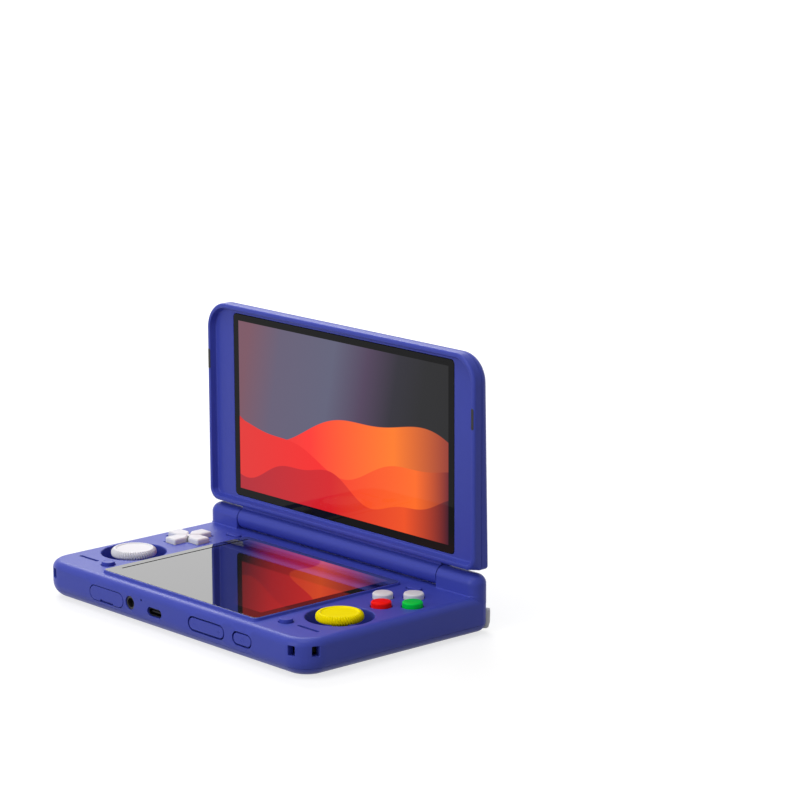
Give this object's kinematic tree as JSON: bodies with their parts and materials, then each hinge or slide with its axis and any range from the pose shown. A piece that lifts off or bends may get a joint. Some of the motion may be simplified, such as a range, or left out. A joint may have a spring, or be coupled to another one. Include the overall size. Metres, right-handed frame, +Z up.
{
  "type": "clamshell handheld game console",
  "caption": "Clamshell handheld console with a large display in the lid and a smaller one in the base, two thumb sticks, a direction pad and push buttons; the lid folds on a friction hinge.",
  "frame": {"origin": "middle of the footprint, on the surface that the feet stand on, with the lid standing open at a right angle", "axes": "+X to the player's right along the hinge, +Y from the front edge towards the hinge, +Z up"},
  "size_m": [0.18, 0.108, 0.1225],
  "materials": {
    "shell": "smooth matte moulding with a fine texture",
    "light_keys": "smooth satin plastic",
    "yellow_cap": "satin plastic with fine ribs",
    "red_key": "smooth plastic",
    "green_key": "smooth plastic",
    "display_glass": "black-backed cover glass",
    "display_panel": "smooth panel",
    "board": "green solder mask",
    "battery_foil": "laminated foil pouch",
    "fan_plastic": "moulded plastic",
    "fins": "stamped fins",
    "copper": "flattened copper tube",
    "stick_housing": "moulded plastic",
    "steel": "turned and polished",
    "dark_plastic": "moulded plastic",
    "soft_rubber": "matte silicone",
    "socket_metal": "drawn steel shell"
  },
  "bodies": {
    "base": {"base_top_shell": "shell", "base_bottom_cover": "shell", "lower_glass": "display_glass", "lower_panel": "display_panel", "main_board": "board", "battery": "battery_foil", "fan_housing": "fan_plastic", "heat_sink": "fins", "heat_pipe": "copper", "left_stick_module": "stick_housing", "right_stick_module": "stick_housing", "left_button_board": "board", "right_button_board": "board", "dome_mats": "soft_rubber", "shoulder_pins": "steel", "left_speaker": "dark_plastic", "right_speaker": "dark_plastic", "usb_socket": "socket_metal", "headphone_jack": "dark_plastic", "card_socket": "socket_metal", "side_switch_board": "board", "left_hinge_cartridge": "steel", "right_hinge_cartridge": "steel", "hinge_strip": "steel", "rubber_feet": "soft_rubber", "base_screws": "steel"},
    "lid": {"lid_front_frame": "shell", "lid_back_cover": "shell", "upper_glass": "display_glass", "upper_panel": "display_panel", "lid_bumpers": "soft_rubber", "hinge_barrel": "shell", "left_hinge_shaft": "steel", "right_hinge_shaft": "steel"},
    "fan": {"fan_rotor": "fan_plastic"},
    "left_rocker_ring": {"left_stick_rocker": "steel"},
    "left_pivot_ball": {"left_stick_pivot": "dark_plastic"},
    "left_stick": {"left_stick_stem": "steel", "left_stick_cap": "light_keys"},
    "right_rocker_ring": {"right_stick_rocker": "steel"},
    "right_pivot_ball": {"right_stick_pivot": "dark_plastic"},
    "right_stick": {"right_stick_stem": "steel", "right_stick_cap": "yellow_cap"},
    "dpad_ball": {"dpad_pivot": "dark_plastic"},
    "dpad": {"dpad": "light_keys"},
    "north_key": {"north_button": "light_keys"},
    "south_key": {"south_button": "red_key"},
    "east_key": {"east_button": "green_key"},
    "west_key": {"west_button": "light_keys"},
    "select_key": {"select_button": "shell"},
    "start_key": {"start_button": "shell"},
    "left_menu_key": {"left_menu_button": "shell"},
    "right_menu_key": {"right_menu_button": "shell"},
    "left_shoulder_key": {"left_shoulder": "light_keys"},
    "left_trigger_key": {"left_trigger": "light_keys"},
    "right_shoulder_key": {"right_shoulder": "light_keys"},
    "right_trigger_key": {"right_trigger": "light_keys"},
    "volume_key": {"volume_rocker": "shell"},
    "power_key": {"power_button": "shell"},
    "card_flap": {"card_cover": "shell"}
  },
  "joints": [
    {"name": "lid_hinge", "type": "hinge", "parent": "base", "child": "lid", "pos_m": [0, 0.047, 0.0221], "axis": [-1, 0, 0], "range_deg": [-90, 90]},
    {"name": "fan_spin", "type": "hinge", "parent": "base", "child": "fan", "pos_m": [0, 0.024, 0.005], "axis": [0, 0, 1], "continuous": true},
    {"name": "left_stick_fore_aft", "type": "hinge", "parent": "base", "child": "left_rocker_ring", "pos_m": [-0.0703, -0.0172, 0.007], "axis": [1, 0, 0], "range_deg": [-12, 12], "stiffness_Nm_per_rad": 0.02},
    {"name": "left_stick_sideways", "type": "hinge", "parent": "left_rocker_ring", "child": "left_pivot_ball", "pos_m": [-0.0703, -0.0172, 0.007], "axis": [0, 1, 0], "range_deg": [-12, 12], "stiffness_Nm_per_rad": 0.02},
    {"name": "left_stick_click", "type": "slide", "parent": "left_pivot_ball", "child": "left_stick", "axis": [0, 0, 1], "range_m": [-0.0009, 0], "stiffness_N_per_m": 1500},
    {"name": "right_stick_fore_aft", "type": "hinge", "parent": "base", "child": "right_rocker_ring", "pos_m": [0.0703, -0.0172, 0.007], "axis": [1, 0, 0], "range_deg": [-12, 12], "stiffness_Nm_per_rad": 0.02},
    {"name": "right_stick_sideways", "type": "hinge", "parent": "right_rocker_ring", "child": "right_pivot_ball", "pos_m": [0.0703, -0.0172, 0.007], "axis": [0, 1, 0], "range_deg": [-12, 12], "stiffness_Nm_per_rad": 0.02},
    {"name": "right_stick_click", "type": "slide", "parent": "right_pivot_ball", "child": "right_stick", "axis": [0, 0, 1], "range_m": [-0.0009, 0], "stiffness_N_per_m": 1500},
    {"name": "dpad_fore_aft", "type": "hinge", "parent": "base", "child": "dpad_ball", "pos_m": [-0.071, 0.015, 0.0135], "axis": [1, 0, 0], "range_deg": [-4, 4], "stiffness_Nm_per_rad": 0.15},
    {"name": "dpad_sideways", "type": "hinge", "parent": "dpad_ball", "child": "dpad", "pos_m": [-0.071, 0.015, 0.0135], "axis": [0, 1, 0], "range_deg": [-4, 4], "stiffness_Nm_per_rad": 0.15},
    {"name": "north_button_press", "type": "slide", "parent": "base", "child": "north_key", "axis": [0, 0, 1], "range_m": [-0.0011, 0], "stiffness_N_per_m": 500},
    {"name": "south_button_press", "type": "slide", "parent": "base", "child": "south_key", "axis": [0, 0, 1], "range_m": [-0.0011, 0], "stiffness_N_per_m": 500},
    {"name": "east_button_press", "type": "slide", "parent": "base", "child": "east_key", "axis": [0, 0, 1], "range_m": [-0.0011, 0], "stiffness_N_per_m": 500},
    {"name": "west_button_press", "type": "slide", "parent": "base", "child": "west_key", "axis": [0, 0, 1], "range_m": [-0.0011, 0], "stiffness_N_per_m": 500},
    {"name": "select_button_press", "type": "slide", "parent": "base", "child": "select_key", "axis": [0, 0, 1], "range_m": [-0.0007, 0], "stiffness_N_per_m": 600},
    {"name": "start_button_press", "type": "slide", "parent": "base", "child": "start_key", "axis": [0, 0, 1], "range_m": [-0.0007, 0], "stiffness_N_per_m": 600},
    {"name": "left_menu_button_press", "type": "slide", "parent": "base", "child": "left_menu_key", "axis": [0, 0, 1], "range_m": [-0.0006, 0], "stiffness_N_per_m": 600},
    {"name": "right_menu_button_press", "type": "slide", "parent": "base", "child": "right_menu_key", "axis": [0, 0, 1], "range_m": [-0.0006, 0], "stiffness_N_per_m": 600},
    {"name": "left_shoulder_press", "type": "hinge", "parent": "base", "child": "left_shoulder_key", "pos_m": [-0.067, 0.0466, 0.0067], "axis": [0, 0, -1], "range_deg": [-2, 0], "stiffness_Nm_per_rad": 0.5},
    {"name": "left_trigger_press", "type": "slide", "parent": "base", "child": "left_trigger_key", "axis": [0, 1, 0], "range_m": [-0.001, 0], "stiffness_N_per_m": 600},
    {"name": "right_shoulder_press", "type": "hinge", "parent": "base", "child": "right_shoulder_key", "pos_m": [0.067, 0.0466, 0.0067], "axis": [0, 0, 1], "range_deg": [-2, 0], "stiffness_Nm_per_rad": 0.5},
    {"name": "right_trigger_press", "type": "slide", "parent": "base", "child": "right_trigger_key", "axis": [0, 1, 0], "range_m": [-0.001, 0], "stiffness_N_per_m": 600},
    {"name": "volume_rock", "type": "hinge", "parent": "base", "child": "volume_key", "pos_m": [0.0265, -0.0502, 0.0099], "axis": [0, 0, 1], "range_deg": [-2.5, 2.5], "stiffness_Nm_per_rad": 0.15},
    {"name": "power_press", "type": "slide", "parent": "base", "child": "power_key", "axis": [0, -1, 0], "range_m": [-0.0005, 0], "stiffness_N_per_m": 800},
    {"name": "card_cover_open", "type": "hinge", "parent": "base", "child": "card_flap", "pos_m": [-0.0426, -0.054, 0.01245], "axis": [-1, 0, 0], "range_deg": [0, 95]}
  ]
}
